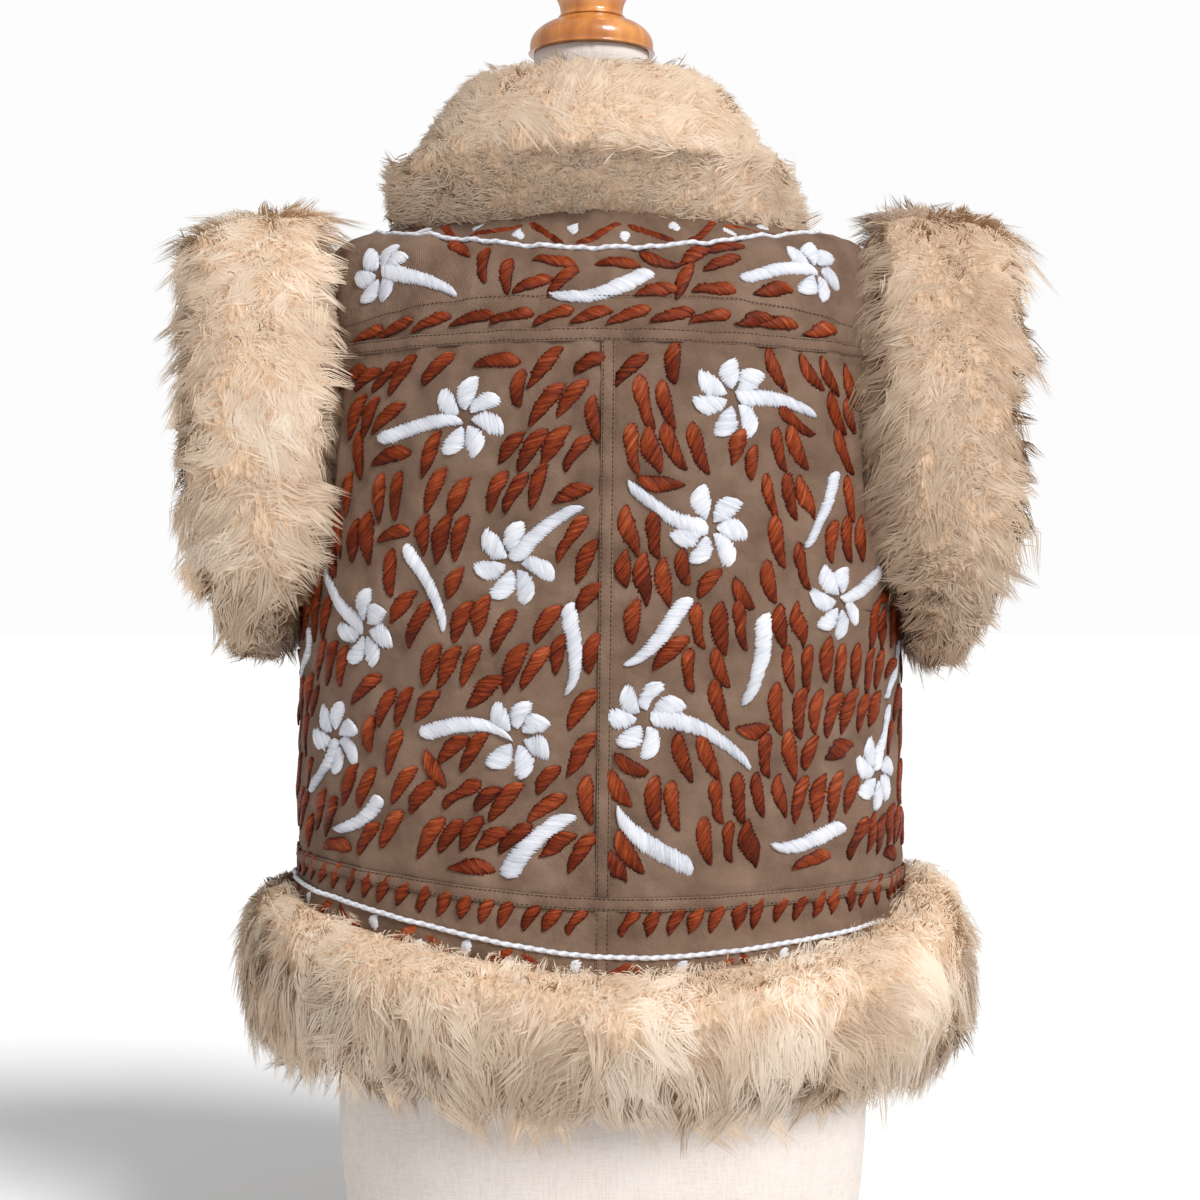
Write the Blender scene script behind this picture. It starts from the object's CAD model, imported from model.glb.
"""An embroidered, fur-trimmed folk vest on a linen dress form, in metres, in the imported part's frame."""
import bpy
import numpy as np
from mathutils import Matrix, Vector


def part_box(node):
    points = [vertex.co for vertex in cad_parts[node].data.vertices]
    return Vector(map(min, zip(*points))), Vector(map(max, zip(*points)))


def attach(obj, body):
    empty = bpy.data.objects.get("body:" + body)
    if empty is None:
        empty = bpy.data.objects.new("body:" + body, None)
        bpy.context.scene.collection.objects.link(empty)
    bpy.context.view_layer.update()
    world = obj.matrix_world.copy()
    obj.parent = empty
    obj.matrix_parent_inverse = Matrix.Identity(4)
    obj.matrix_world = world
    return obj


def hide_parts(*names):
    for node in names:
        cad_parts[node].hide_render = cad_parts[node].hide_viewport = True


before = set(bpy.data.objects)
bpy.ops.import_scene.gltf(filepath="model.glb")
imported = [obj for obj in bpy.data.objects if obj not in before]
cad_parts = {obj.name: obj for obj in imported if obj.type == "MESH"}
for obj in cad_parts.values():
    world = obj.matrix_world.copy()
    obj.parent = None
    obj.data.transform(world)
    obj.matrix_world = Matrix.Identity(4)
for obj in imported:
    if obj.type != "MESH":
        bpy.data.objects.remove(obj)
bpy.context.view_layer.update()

# The dress form's torso: a padded body under off-white linen that is drawn tight and closed round the neck.
# It is fullest at the hips and chest, with one fine seam down its middle, behind and before.
# Columns: height, half width, half depth, middle x, middle y, power of the superellipse.
TORSO_SECTIONS = np.array([
    (0.0153, 0.171, 0.112, 0.002, 0.000, 2.2),
    (0.064, 0.180, 0.121, 0.002, 0.000, 2.2),
    (0.135, 0.186, 0.126, 0.002, 0.000, 2.2),
    (0.210, 0.183, 0.123, 0.002, 0.000, 2.2),
    (0.290, 0.165, 0.112, 0.002, 0.000, 2.2),
    (0.360, 0.150, 0.104, 0.002, 0.001, 2.2),
    (0.430, 0.156, 0.110, 0.002, 0.002, 2.2),
    (0.500, 0.169, 0.120, 0.002, 0.002, 2.2),
    (0.560, 0.174, 0.124, 0.000, 0.001, 2.2),
    (0.620, 0.172, 0.120, -0.002, 0.000, 2.2),
    (0.670, 0.166, 0.109, -0.003, 0.000, 2.1),
    (0.700, 0.156, 0.097, -0.004, 0.002, 2.0),
    (0.720, 0.140, 0.085, -0.005, 0.003, 2.0),
    (0.733, 0.116, 0.075, -0.005, 0.004, 2.0),
    (0.743, 0.087, 0.064, -0.006, 0.005, 2.0),
    (0.755, 0.062, 0.054, -0.006, 0.006, 2.0),
    (0.775, 0.050, 0.047, -0.006, 0.006, 2.0),
    (0.805, 0.044, 0.043, -0.006, 0.006, 2.0),
    (0.878, 0.041, 0.041, -0.006, 0.006, 2.0),
])


def smooth_columns(table, where):
    """Cubic curves through a table's rows, whose first column says where each row stands. The slope at a row
    is the mean of the rises on its two sides."""
    place, values = table[:, 0], table[:, 1:]
    rise = np.diff(values, axis=0) / np.diff(place)[:, None]
    slope = np.vstack([rise[:1], (rise[1:] + rise[:-1]) / 2, rise[-1:]])
    i = np.clip(np.searchsorted(place, where, side="right") - 1, 0, len(place) - 2)
    step = (place[i + 1] - place[i])[..., None]
    t = (where - place[i])[..., None] / step
    start = (1 + 2 * t) * (1 - t) ** 2 * values[i] + t * (1 - t) ** 2 * step * slope[i]
    end = t * t * (3 - 2 * t) * values[i + 1] - t * t * (1 - t) * step * slope[i + 1]
    return np.moveaxis(start + end, -1, 0)


def ring_radius(sine, cosine, width, depth, power):
    """A superellipse's radius in one direction, from its half sizes and its power."""
    return (np.abs(sine / width) ** power + np.abs(cosine / depth) ** power) ** (-1 / power)


def new_mesh(name, vertices, corners, sizes):
    """A smooth mesh of the given vertices, from the vertex at each corner and the corners of each face."""
    mesh = bpy.data.meshes.new(name)
    mesh.vertices.add(len(vertices))
    mesh.vertices.foreach_set("co", vertices.astype(np.float32).ravel())
    mesh.loops.add(len(corners))
    mesh.loops.foreach_set("vertex_index", corners.astype(np.int32))
    mesh.polygons.add(len(sizes))
    mesh.polygons.foreach_set("loop_start", (np.cumsum(sizes) - sizes).astype(np.int32))
    mesh.polygons.foreach_set("use_smooth", np.ones(len(sizes), bool))
    return mesh


def add_surface(name, points, material, wraps=False, capped=False, uv=None, values=None):
    """A mesh from one grid of points, or from many of the same size. Four neighbours make a face. The last
    column joins the first if the grid wraps, and a capped grid has a fan of faces at its first and last rows.
    uv and values hold a place on the cloth and one number for each point."""
    points = np.asarray(points, float)
    rows, columns = points.shape[-3:-1]
    vertices = points.reshape(-1, 3)
    index = np.arange(rows * columns).reshape(rows, columns)
    if wraps:
        index = np.hstack([index, index[:, :1]])
    quads = np.stack([index[:-1, :-1], index[:-1, 1:], index[1:, 1:], index[1:, :-1]], -1).reshape(-1, 4)
    starts = np.arange(len(vertices) // (rows * columns)) * rows * columns
    faces = (starts[:, None, None] + quads).reshape(-1, 4)
    fans = np.empty((0, 3), int)
    if capped:
        first, last, middle = index[0], index[-1], len(vertices)
        vertices = np.vstack([vertices, points[0].mean(axis=0), points[-1].mean(axis=0)])
        bottom = np.stack([np.full(len(first) - 1, middle), first[1:], first[:-1]], -1)
        top = np.stack([np.full(len(last) - 1, middle + 1), last[:-1], last[1:]], -1)
        fans = np.vstack([bottom, top])
    corners = np.concatenate([faces.ravel(), fans.ravel()])
    sizes = np.concatenate([np.full(len(faces), 4), np.full(len(fans), 3)])
    mesh = new_mesh(name, vertices, corners, sizes)
    if uv is not None:
        places = np.vstack([np.asarray(uv).reshape(-1, 2), np.zeros((2, 2))])
        corner_places = places[np.minimum(corners, len(places) - 1)]
        mesh.uv_layers.new(name="Cloth").data.foreach_set("uv", corner_places.astype(np.float32).ravel())
    if values is not None:
        numbers = np.zeros(len(vertices), np.float32)
        numbers[: values.size] = values.ravel()
        mesh.attributes.new("tone", "FLOAT", "POINT").data.foreach_set("value", numbers)
    mesh.update(calc_edges=True)
    mesh.materials.append(material)
    piece = bpy.data.objects.new(name, mesh)
    bpy.context.collection.objects.link(piece)
    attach(piece, "root")
    return piece


def new_material(name, roughness, specular=0.5, sheen=0.0, coat=0.0):
    """A material whose Principled shader has its fixed numbers set on its own sockets."""
    material = bpy.data.materials.new(name)
    material.use_nodes = True
    shader = material.node_tree.nodes["Principled BSDF"]
    fixed = {"Roughness": roughness, "Specular IOR Level": specular, "Sheen Weight": sheen,
             "Coat Weight": coat, "Coat Roughness": 0.08}
    for socket, value in fixed.items():
        shader.inputs[socket].default_value = value
    return material


def node(material, kind, inputs=None, **settings):
    """Adds a node. Each input is given a number, a colour, or the output of another node."""
    made = material.node_tree.nodes.new("ShaderNode" + kind)
    for name, value in settings.items():
        setattr(made, name, value)
    for socket, value in (inputs or {}).items():
        if isinstance(value, bpy.types.NodeSocket):
            material.node_tree.links.new(value, made.inputs[socket])
        else:
            made.inputs[socket].default_value = value
    return made


def noise(material, scale, stretch=(1, 1, 1), detail=2.0, source="Object"):
    """Cloudy values from 0 to 1. stretch multiplies the scale along each axis."""
    place = node(material, "TexCoord").outputs[source]
    mapped = node(material, "Mapping", {"Vector": place, "Scale": stretch}).outputs["Vector"]
    return node(material, "TexNoise", {"Vector": mapped, "Scale": scale, "Detail": detail}).outputs["Fac"]


def combine(material, operation, a, b):
    """One number from two, by a sum, product or the like."""
    return node(material, "Math", {0: a, 1: b}, operation=operation).outputs["Value"]


def weighted(material, *parts):
    """The sum of several (value, weight)."""
    total = None
    for value, weight in parts:
        part = combine(material, "MULTIPLY", value, weight)
        total = part if total is None else combine(material, "ADD", total, part)
    return total


def colour_by(material, factor, stops):
    """Sets the base colour from a ramp: each stop is a place from 0 to 1 and a colour."""
    ramp = node(material, "ValToRGB", {"Fac": factor})
    elements = ramp.color_ramp.elements
    while len(elements) < len(stops):
        elements.new(0.5)
    for element, (place, colour) in zip(elements, stops):
        element.position = place
        element.color = (*colour, 1)
    shader = material.node_tree.nodes["Principled BSDF"]
    material.node_tree.links.new(ramp.outputs["Color"], shader.inputs["Base Color"])


def raise_by(material, *layers):
    """Bumps the surface by each (height from 0 to 1, depth in metres)."""
    shader = material.node_tree.nodes["Principled BSDF"]
    normal = None
    for height, depth in layers:
        inputs = {"Height": height, "Distance": depth, "Strength": 1.0}
        if normal is not None:
            inputs["Normal"] = normal
        normal = node(material, "Bump", inputs).outputs["Normal"]
    material.node_tree.links.new(normal, shader.inputs["Normal"])


linen = new_material("form_linen", 0.85, specular=0.2, sheen=0.05)
warp = noise(linen, 700, stretch=(1, 1, 0.12))
weft = noise(linen, 700, stretch=(0.15, 0.15, 1.4))
slubs = noise(linen, 45, stretch=(1, 1, 0.3))
threads = weighted(linen, (warp, 0.4), (weft, 0.4))
colour_by(linen, combine(linen, "ADD", threads, combine(linen, "MULTIPLY", slubs, 0.2)), [
    (0.3, (0.59, 0.525, 0.48)), (0.5, (0.68, 0.615, 0.57)), (0.7, (0.735, 0.68, 0.635))])
raise_by(linen, (threads, 0.0006), (slubs, 0.0004))

torso_low, torso_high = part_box("form_torso")
form_turn = np.linspace(0, 2 * np.pi, 120, endpoint=False)
form_height, form_turn = np.meshgrid(np.linspace(torso_low[2], torso_high[2], 100), form_turn, indexing="ij")
half_width, half_depth, middle_x, middle_y, power = smooth_columns(TORSO_SECTIONS, form_height)
sine, cosine = np.sin(form_turn), np.cos(form_turn)
from_seam = np.abs(sine) * half_width
seam_groove = 0.0006 * np.exp(-((from_seam / 0.0012) ** 2))
radius = ring_radius(sine, cosine, half_width, half_depth, power) - seam_groove
torso_points = np.stack([middle_x + radius * sine, middle_y - radius * cosine, form_height], -1)
torso = add_surface("torso", torso_points, linen, wraps=True, capped=True)
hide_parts("form_torso")

# The board under the torso, and the turned cap and knob on its neck: hardwood, stained orange-brown and
# varnished. The cap is a bun with a flat underside, and the knob swells above a short waist.
# Profiles: radius and height.
CAP_PROFILE = np.array([
    (0.0005, 0.8783), (0.0415, 0.8783), (0.0434, 0.8803), (0.0439, 0.8845), (0.0429, 0.8890),
    (0.0399, 0.8936), (0.0346, 0.8978), (0.0280, 0.9010), (0.0222, 0.9028), (0.0005, 0.9030),
])
KNOB_PROFILE = np.array([
    (0.0005, 0.9033), (0.0226, 0.9033), (0.0220, 0.9070), (0.0226, 0.9120), (0.0244, 0.9170),
    (0.0275, 0.9230), (0.0300, 0.9305), (0.0306, 0.9385), (0.0288, 0.9480), (0.0242, 0.9565),
    (0.0166, 0.9630), (0.0080, 0.9668), (0.0005, 0.9680),
])
BOARD_EDGE = 0.004  # inset of the board from the torso, and the rounding of its edges

wood = new_material("varnished_wood", 0.35, coat=0.8)
grain = noise(wood, 60, stretch=(1, 1, 0.12), detail=6)
pores = noise(wood, 420, stretch=(1, 1, 0.08), detail=2)
colour_by(wood, combine(wood, "ADD", grain, combine(wood, "MULTIPLY", pores, 0.12)), [
    (0.36, (0.30, 0.085, 0.014)), (0.52, (0.50, 0.165, 0.028)), (0.68, (0.66, 0.27, 0.06))])
raise_by(wood, (pores, 0.0001))


def rounded(profile, count):
    """A smooth line through a profile's points, by a Catmull-Rom curve, with its points evenly spread."""
    padded = np.vstack([profile[:1], profile, profile[-1:]])
    place = np.linspace(0, len(profile) - 1, count)
    i = np.clip(place.astype(int), 0, len(profile) - 2)
    t = (place - i)[:, None]
    a, b, c, d = (padded[i + k] for k in range(4))
    curve = b + (c - a) * t / 2 + (a - 2.5 * b + 2 * c - d / 2) * t ** 2
    return curve + (1.5 * (b - c) + (d - a) / 2) * t ** 3


neck_x, neck_y = (np.add(*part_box("neck_cap"))[:2]) / 2
turned_about = np.linspace(0, 2 * np.pi, 64, endpoint=False)
for piece_name, cad_node, profile in (("cap", "neck_cap", CAP_PROFILE), ("knob", "neck_knob", KNOB_PROFILE)):
    r, z = rounded(profile, 44).T[..., None]
    outline = [neck_x + r * np.sin(turned_about), neck_y - r * np.cos(turned_about), z + 0 * turned_about]
    turned = add_surface(piece_name, np.stack(outline, -1), wood, wraps=True, capped=True)
    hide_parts(cad_node)

board_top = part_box("form_base")[1][2]
edge_turn = np.linspace(-np.pi / 2, np.pi / 2, 9)
off_middle = np.sign(edge_turn) * (np.abs(edge_turn) > 0.01)
board_height = board_top / 2 + (board_top / 2 - BOARD_EDGE / 2) * off_middle
board_height = board_height + BOARD_EDGE / 2 * np.sin(edge_turn)
board_cut = BOARD_EDGE + BOARD_EDGE * (1 - np.cos(edge_turn))
half_width, half_depth = TORSO_SECTIONS[0, 1:3]
board_turn = np.linspace(0, 2 * np.pi, 120, endpoint=False)
board_radius = ring_radius(np.sin(board_turn), np.cos(board_turn),
                           half_width - board_cut[:, None], half_depth - board_cut[:, None], 2.2)
board_outline = [TORSO_SECTIONS[0, 3] + board_radius * np.sin(board_turn),
                 -board_radius * np.cos(board_turn), board_height[:, None] + 0 * board_radius]
board = add_surface("board", np.stack(board_outline, -1), wood, wraps=True, capped=True)
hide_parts("form_base")

# The vest's cloth: taupe brushed cotton over a thin padding, cut as two back panels under a yoke, two fronts,
# and a band round the hem. It hangs as one surface, cloth_point(turn, level): turn is in degrees round the
# body from the centre back, and level is the height at which a ring crosses the centre back.
# Columns: level, half width, depth behind, depth before, height at the side, height before, power.
CLOTH_RINGS = np.array([
    (0.208, 0.216, 0.152, 0.150, 0.226, 0.212, 2.25),
    (0.294, 0.213, 0.149, 0.148, 0.307, 0.297, 2.25),
    (0.380, 0.211, 0.148, 0.148, 0.384, 0.380, 2.25),
    (0.500, 0.210, 0.151, 0.152, 0.500, 0.498, 2.25),
    (0.600, 0.204, 0.150, 0.150, 0.597, 0.586, 2.2),
    (0.662, 0.200, 0.144, 0.140, 0.657, 0.636, 2.15),
    (0.680, 0.195, 0.139, 0.133, 0.695, 0.650, 2.1),
    (0.697, 0.186, 0.132, 0.126, 0.735, 0.666, 2.0),
    (0.720, 0.148, 0.118, 0.116, 0.746, 0.688, 2.0),
    (0.738, 0.116, 0.104, 0.108, 0.753, 0.704, 2.0),
    (0.757, 0.087, 0.086, 0.100, 0.760, 0.722, 2.0),
])
HEM, BAND_SEAM, YOKE_SEAM, SHOULDER, NECK = 0.208, 0.294, 0.662, 0.697, 0.757
HEM_TILT = 0.008
BACK_SEAM = {"hem": 0.2, "yoke": 2.2}
FRONT_EDGE = 178.4
STRIP = 0.0092
ARMHOLE = {"level": 0.590, "half_turn": 26, "half_level": 0.107, "power": 2.6}
# Soft folds in the hang of the cloth. Columns: from turn, from level, to turn, to level, depth, half width.
FOLDS = np.array([
    (-66, 0.505, -34, 0.455, 0.0030, 0.013),
    (-60, 0.430, -22, 0.452, -0.0022, 0.012),
    (-70, 0.345, -30, 0.362, 0.0022, 0.012),
    (-30, 0.575, -8, 0.520, 0.0016, 0.010),
    (-50, 0.640, -28, 0.655, 0.0014, 0.009),
    (64, 0.520, 40, 0.455, 0.0030, 0.013),
    (72, 0.430, 30, 0.415, -0.0022, 0.013),
    (70, 0.330, 24, 0.365, 0.0024, 0.012),
    (20, 0.590, 44, 0.560, 0.0015, 0.010),
    (30, 0.320, 50, 0.300, -0.0012, 0.010),
    (112, 0.500, 146, 0.440, 0.0032, 0.014),
    (-112, 0.500, -142, 0.452, 0.0030, 0.014),
    (118, 0.380, 160, 0.352, -0.0024, 0.013),
    (-116, 0.392, -158, 0.345, 0.0026, 0.013),
    (126, 0.640, 156, 0.600, 0.0022, 0.012),
    (-128, 0.635, -158, 0.605, 0.0024, 0.012),
    (96, 0.470, 88, 0.360, 0.0028, 0.014),
    (-94, 0.465, -90, 0.350, 0.0026, 0.014),
])


def cloth_point(turn, level):
    """A superellipse ring whose height goes from the centre line's to the side's with the square of the sine,
    and tips down towards the wearer's right below the chest."""
    width, behind, before, side, fore, power = smooth_columns(CLOTH_RINGS, level)
    sine, cosine = np.sin(np.radians(turn)), np.cos(np.radians(turn))
    radius = ring_radius(sine, cosine, width, np.where(cosine > 0, behind, before), power)
    middle = np.where(cosine > 0, level, fore)
    low = np.clip((0.600 - level) / (0.600 - HEM), 0, 1)
    tilt = HEM_TILT * low * low * (3 - 2 * low)
    height = side + (middle - side) * cosine ** 2 - tilt * radius * sine / width
    return np.stack([radius * sine, -radius * cosine, height], -1)


def cloth_slopes(turn, level):
    """The cloth's change in metres for a degree of turn and for a metre of level."""
    low = np.minimum(level + 0.0005, NECK) - 0.001
    around = cloth_point(turn + 0.25, level) - cloth_point(turn - 0.25, level)
    up = cloth_point(turn, low + 0.001) - cloth_point(turn, low)
    return around / 0.5, up / 0.001


def along_fold(turn, level):
    """Distance in metres from each fold's line, a degree taken as 3.6 mm, and the share of the way along."""
    x, y = turn[..., None] * 0.0036, level[..., None]
    x0, y0, x1, y1 = FOLDS[:, 0] * 0.0036, FOLDS[:, 1], FOLDS[:, 2] * 0.0036, FOLDS[:, 3]
    along = ((x - x0) * (x1 - x0) + (y - y0) * (y1 - y0)) / ((x1 - x0) ** 2 + (y1 - y0) ** 2)
    held = np.clip(along, 0, 1)
    return np.hypot(x - x0 - held * (x1 - x0), y - y0 - held * (y1 - y0)), held


def hang(turn, level):
    """How far the cloth stands off its plain ring surface: its folds, and low waves of the padding."""
    off, held = along_fold(turn, level)
    swell = 0.35 + 0.65 * np.sin(np.pi * held)
    folds = (FOLDS[:, 4] * swell * np.exp(-((off / FOLDS[:, 5]) ** 2))).sum(axis=-1)
    waves = 0.0007 * np.sin(0.31 * turn + 61 * level) + 0.0006 * np.sin(0.55 * turn - 47 * level + 1.3)
    return folds + waves + 0.0004 * np.sin(0.9 * turn + 130 * level + 0.7)


def on_cloth(turn, level, out=0.0):
    """A point raised off the hanging cloth, along the ring surface's normal."""
    around, up = cloth_slopes(turn, level)
    normal = np.cross(around, up)
    normal = normal / np.linalg.norm(normal, axis=-1, keepdims=True)
    return cloth_point(turn, level) + normal * (hang(turn, level) + out)[..., None]


def beside(turn, level, x, y):
    """The turn and level of a place x metres round the body and y metres up the cloth from another."""
    around, up = cloth_slopes(turn, level)
    return turn + x / np.linalg.norm(around, axis=-1), level + y / np.linalg.norm(up, axis=-1)


def back_seam(level):
    """The centre back seam slants evenly from its turn at the hem to its turn at the yoke."""
    return np.interp(level, [HEM, YOKE_SEAM], [BACK_SEAM["hem"], BACK_SEAM["yoke"]])


def armhole_half_turn(level):
    """Half the armhole's width in degrees, from a superellipse in turn and level."""
    share = np.clip(np.abs(level - ARMHOLE["level"]) / ARMHOLE["half_level"], 0, 1)
    return ARMHOLE["half_turn"] * (1 - share ** ARMHOLE["power"]) ** (1 / ARMHOLE["power"])


# The embroidery's plan. White daisies have six petals and a stem in place of a seventh, white bars stand
# alone, and rust leaf stitches fill the ground between them in staggered rows that lean with the place.
# Daisies: turn, level, way the stem runs in degrees clockwise from up, stem length, stem's bow, petal length.
DAISIES = np.array([
    (-32.4, 0.609, -101, 0.062, -0.003, 0.0185),
    (-20.6, 0.514, 50, 0.056, 0.004, 0.0190),
    (-54.9, 0.469, -48, 0.055, 0.003, 0.0180),
    (-63.6, 0.391, -142, 0.050, 0.004, 0.0170),
    (-20.5, 0.400, -92, 0.062, -0.008, 0.0180),
    (-59.1, 0.689, 99, 0.066, 0.003, 0.0170),
    (57.8, 0.690, -91, 0.060, -0.003, 0.0170),
    (32.2, 0.623, 96, 0.058, 0.004, 0.0190),
    (25.6, 0.537, -63, 0.059, 0.005, 0.0190),
    (55.4, 0.490, 64, 0.054, -0.003, 0.0180),
    (11.1, 0.414, 115, 0.074, 0.009, 0.0180),
    (67.5, 0.374, 24, 0.048, 0.003, 0.0170),
])
# Bars: turn, level, lean of the top in degrees clockwise from up, length, bow, width.
BARS = np.array([
    (0.5, 0.695, 74, 0.068, 0.005, 0.0095),
    (-41.0, 0.497, -29, 0.062, 0.004, 0.0075),
    (-8.0, 0.458, -1, 0.058, 0.005, 0.0085),
    (-57.0, 0.338, 56, 0.050, 0.005, 0.0085),
    (-15.0, 0.329, 42, 0.060, -0.005, 0.0110),
    (-77.0, 0.450, 38, 0.046, 0.006, 0.0080),
    (13.8, 0.470, 41, 0.060, 0.004, 0.0085),
    (52.0, 0.551, 27, 0.058, 0.003, 0.0075),
    (36.4, 0.452, 10, 0.060, 0.004, 0.0095),
    (13.4, 0.335, -54, 0.062, -0.004, 0.0105),
    (48.6, 0.334, 78, 0.056, 0.004, 0.0090),
    (76.0, 0.444, 40, 0.052, 0.003, 0.0080),
])
# Lean of the leaf stitches in degrees, by level and by turn from the wearer's left to right.
LEAN_TURNS = np.array([-88, -60, -38, -5, 5, 38, 55, 88])
LEANS = np.array([
    (0.660, 25, 30, 40, 35, -35, -32, -28, -20),
    (0.610, 10, 14, 22, 26, -14, -26, -24, -20),
    (0.560, -8, -4, 14, 22, -18, -24, -18, 10),
    (0.510, -14, -10, 6, 28, -10, -18, 10, 14),
    (0.460, 16, 18, 24, 24, -14, -20, -8, 18),
    (0.410, 14, 14, 16, 24, -26, -26, 18, 22),
    (0.360, 14, 20, 30, 44, -10, -14, 20, 24),
    (0.310, 14, 22, 34, 30, -18, -16, 24, 28),
])
LEAF = {"length": 0.0300, "width": 0.0119, "row": 0.0284, "apart": 0.0142,
        "clear": 0.0100, "clear_white": 0.0046}
FRONT_SHIFT = -0.018  # the fronts repeat the back's motifs this much lower, as seen in a mirror at the side

rng = np.random.default_rng(7)


def mirrored_to_front(motifs):
    """The motifs of the back, with a copy of each that is clear of the side on the front."""
    copies = motifs[np.abs(motifs[:, 0]) < 66].copy()
    copies[:, 0] = np.where(copies[:, 0] < 0, -180, 180) - copies[:, 0]
    copies[:, 1] += FRONT_SHIFT
    copies[:, 2] *= -1
    copies[:, 4] *= -1
    clear = (np.abs(copies[:, 0]) < 166) & (copies[:, 1] < 0.68)
    return np.vstack([motifs, copies[clear]])


daisies, bars = mirrored_to_front(DAISIES), mirrored_to_front(BARS)
petal_lean = np.radians(daisies[:, 2:3] + 360 / 7 * np.arange(1, 7)) + rng.normal(0, 0.05, (len(daisies), 6))
petal_length = daisies[:, 5:6] * rng.uniform(0.9, 1.1, petal_lean.shape)
petal_from = 0.0062 + petal_length / 2
petal_turn, petal_level = beside(daisies[:, :1] + 0 * petal_lean, daisies[:, 1:2] + 0 * petal_lean,
                                 petal_from * np.sin(petal_lean), petal_from * np.cos(petal_lean))
stem_lean = np.radians(daisies[:, 2])
stem_turn, stem_level = beside(daisies[:, 0], daisies[:, 1],
                               (daisies[:, 3] / 2 + 0.001) * np.sin(stem_lean),
                               (daisies[:, 3] / 2 + 0.001) * np.cos(stem_lean))


def axis_places(turn, level, lean, length, count=7, bow=0.0):
    """Points on the cloth along each stitch's own axis, for finding which stitches would touch."""
    share = np.linspace(-0.5, 0.5, count)
    along = share * length[:, None]
    off = np.reshape(bow, (-1, 1)) * (1 - 4 * share ** 2)
    t, v = beside(turn[:, None] + 0 * along, level[:, None] + 0 * along,
                  along * np.sin(lean)[:, None] + off * np.cos(lean)[:, None],
                  along * np.cos(lean)[:, None] - off * np.sin(lean)[:, None])
    return cloth_point(t, v)


petals = [part.ravel() for part in (petal_turn, petal_level, petal_lean, petal_length)]
white_places = np.vstack([
    axis_places(*petals, 4).reshape(-1, 3),
    axis_places(stem_turn, stem_level, stem_lean + np.pi, daisies[:, 3], 12, daisies[:, 4]).reshape(-1, 3),
    axis_places(bars[:, 0], bars[:, 1], np.radians(bars[:, 2]), bars[:, 3], 12, bars[:, 4]).reshape(-1, 3),
])
white_reach = np.concatenate([np.full(petal_lean.size * 4, 0.0062), np.full(len(daisies) * 12, 0.0045),
                              np.repeat(bars[:, 5] / 2, 12)])


def lean_at(turn, level):
    """The lean of the leaf stitches at a place, read off the table. The fronts lean as seen in a mirror."""
    front = abs(turn) > 90
    at = (180 - abs(turn)) * np.sign(turn) if front else turn
    rows = np.array([np.interp(at, LEAN_TURNS, row) for row in LEANS[:, 1:]])
    lean = np.interp(-level, -LEANS[:, 0], rows)
    return -lean if front else lean


def length_along(points):
    """The length from a path's first point to each of its points."""
    return np.concatenate([[0], np.cumsum(np.linalg.norm(np.diff(points, axis=0), axis=1))])


def leaf_row(level, start, end, stagger, apart=LEAF["apart"]):
    """Turns spaced evenly by length along a ring, with a little scatter."""
    turns = np.linspace(start, end, 200)
    length = length_along(cloth_point(turns, np.full(200, level)))
    count = int(length[-1] / apart)
    places = (np.arange(count) + 0.5 + 0.5 * stagger) * apart + rng.normal(0, apart * 0.07, count)
    return np.interp(places[places < length[-1] - 0.003], length, turns)


places_taken = np.empty((0, 3))
leaves = []


def try_leaf(turn, level, choices):
    """Adds a leaf stitch at a place, with the first choice of lean in degrees and share of the full length
    that keeps clear of other stitches and of the strips."""
    global places_taken
    highest = 0.712 if abs(turn) > 90 else YOKE_SEAM - STRIP * 0.7
    for lean, share in choices:
        angle, length = np.radians([lean]), LEAF["length"] * share
        places = axis_places(np.array([turn]), np.array([level]), angle, np.array([length * 0.64]), 5)[0]
        up = abs(np.cos(angle[0])) * length / 2
        held = level - up > BAND_SEAM + STRIP * 0.6 and level + up < highest
        whites = np.linalg.norm(white_places[:, None] - places, axis=2).min(axis=1) - white_reach
        others = np.linalg.norm(places_taken[:, None] - places, axis=2)
        if held and whites.min() > LEAF["clear_white"] and (not others.size or others.min() > LEAF["clear"]):
            places_taken = np.vstack([places_taken, places])
            leaves.append((turn, level, angle[0], length, LEAF["width"] * rng.uniform(0.88, 1.14)))
            return


def inside_panel(turn, level):
    """True for a place that is clear of the seams, the front edges and the armholes."""
    off_seam = turn - (back_seam(level) if level < YOKE_SEAM else -99)
    clear_of_armhole = abs(abs(turn) - 90) > armhole_half_turn(level) + (2.2 if level > 0.478 else 0)
    return abs(off_seam) > 3.3 and 2.0 < abs(abs(turn) - 90) and abs(turn) < 174.5 and clear_of_armhole


row_levels = np.arange(0.644 + 2 * LEAF["row"], BAND_SEAM + 0.014, -LEAF["row"])
for row, row_level in enumerate(row_levels):
    for start, end in ((-175, -92), (92, 175)) if row < 2 else ((-175, -92), (-88, -3), (5, 88), (92, 175)):
        for turn in leaf_row(row_level, start, end, row % 2):
            level, share = row_level + rng.normal(0, 0.0020), rng.uniform(0.88, 1.14)
            if inside_panel(turn, level):
                lean = lean_at(turn, level) + rng.normal(0, 5)
                try_leaf(turn, level, [(lean, share), (lean + 12, 0.92 * share), (lean - 12, 0.92 * share)])
for share, count in ((1.0, 1200), (0.86, 1400), (0.72, 1700)):
    for turn, level in zip(rng.uniform(-174, 174, count), rng.uniform(0.31, 0.70, count)):
        if inside_panel(turn, level):
            lean = lean_at(turn, level) + rng.normal(0, 6)
            try_leaf(turn, level, [(lean + more, share) for more in (0, 22, -22, 44, -44, 66, -66)])

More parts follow.
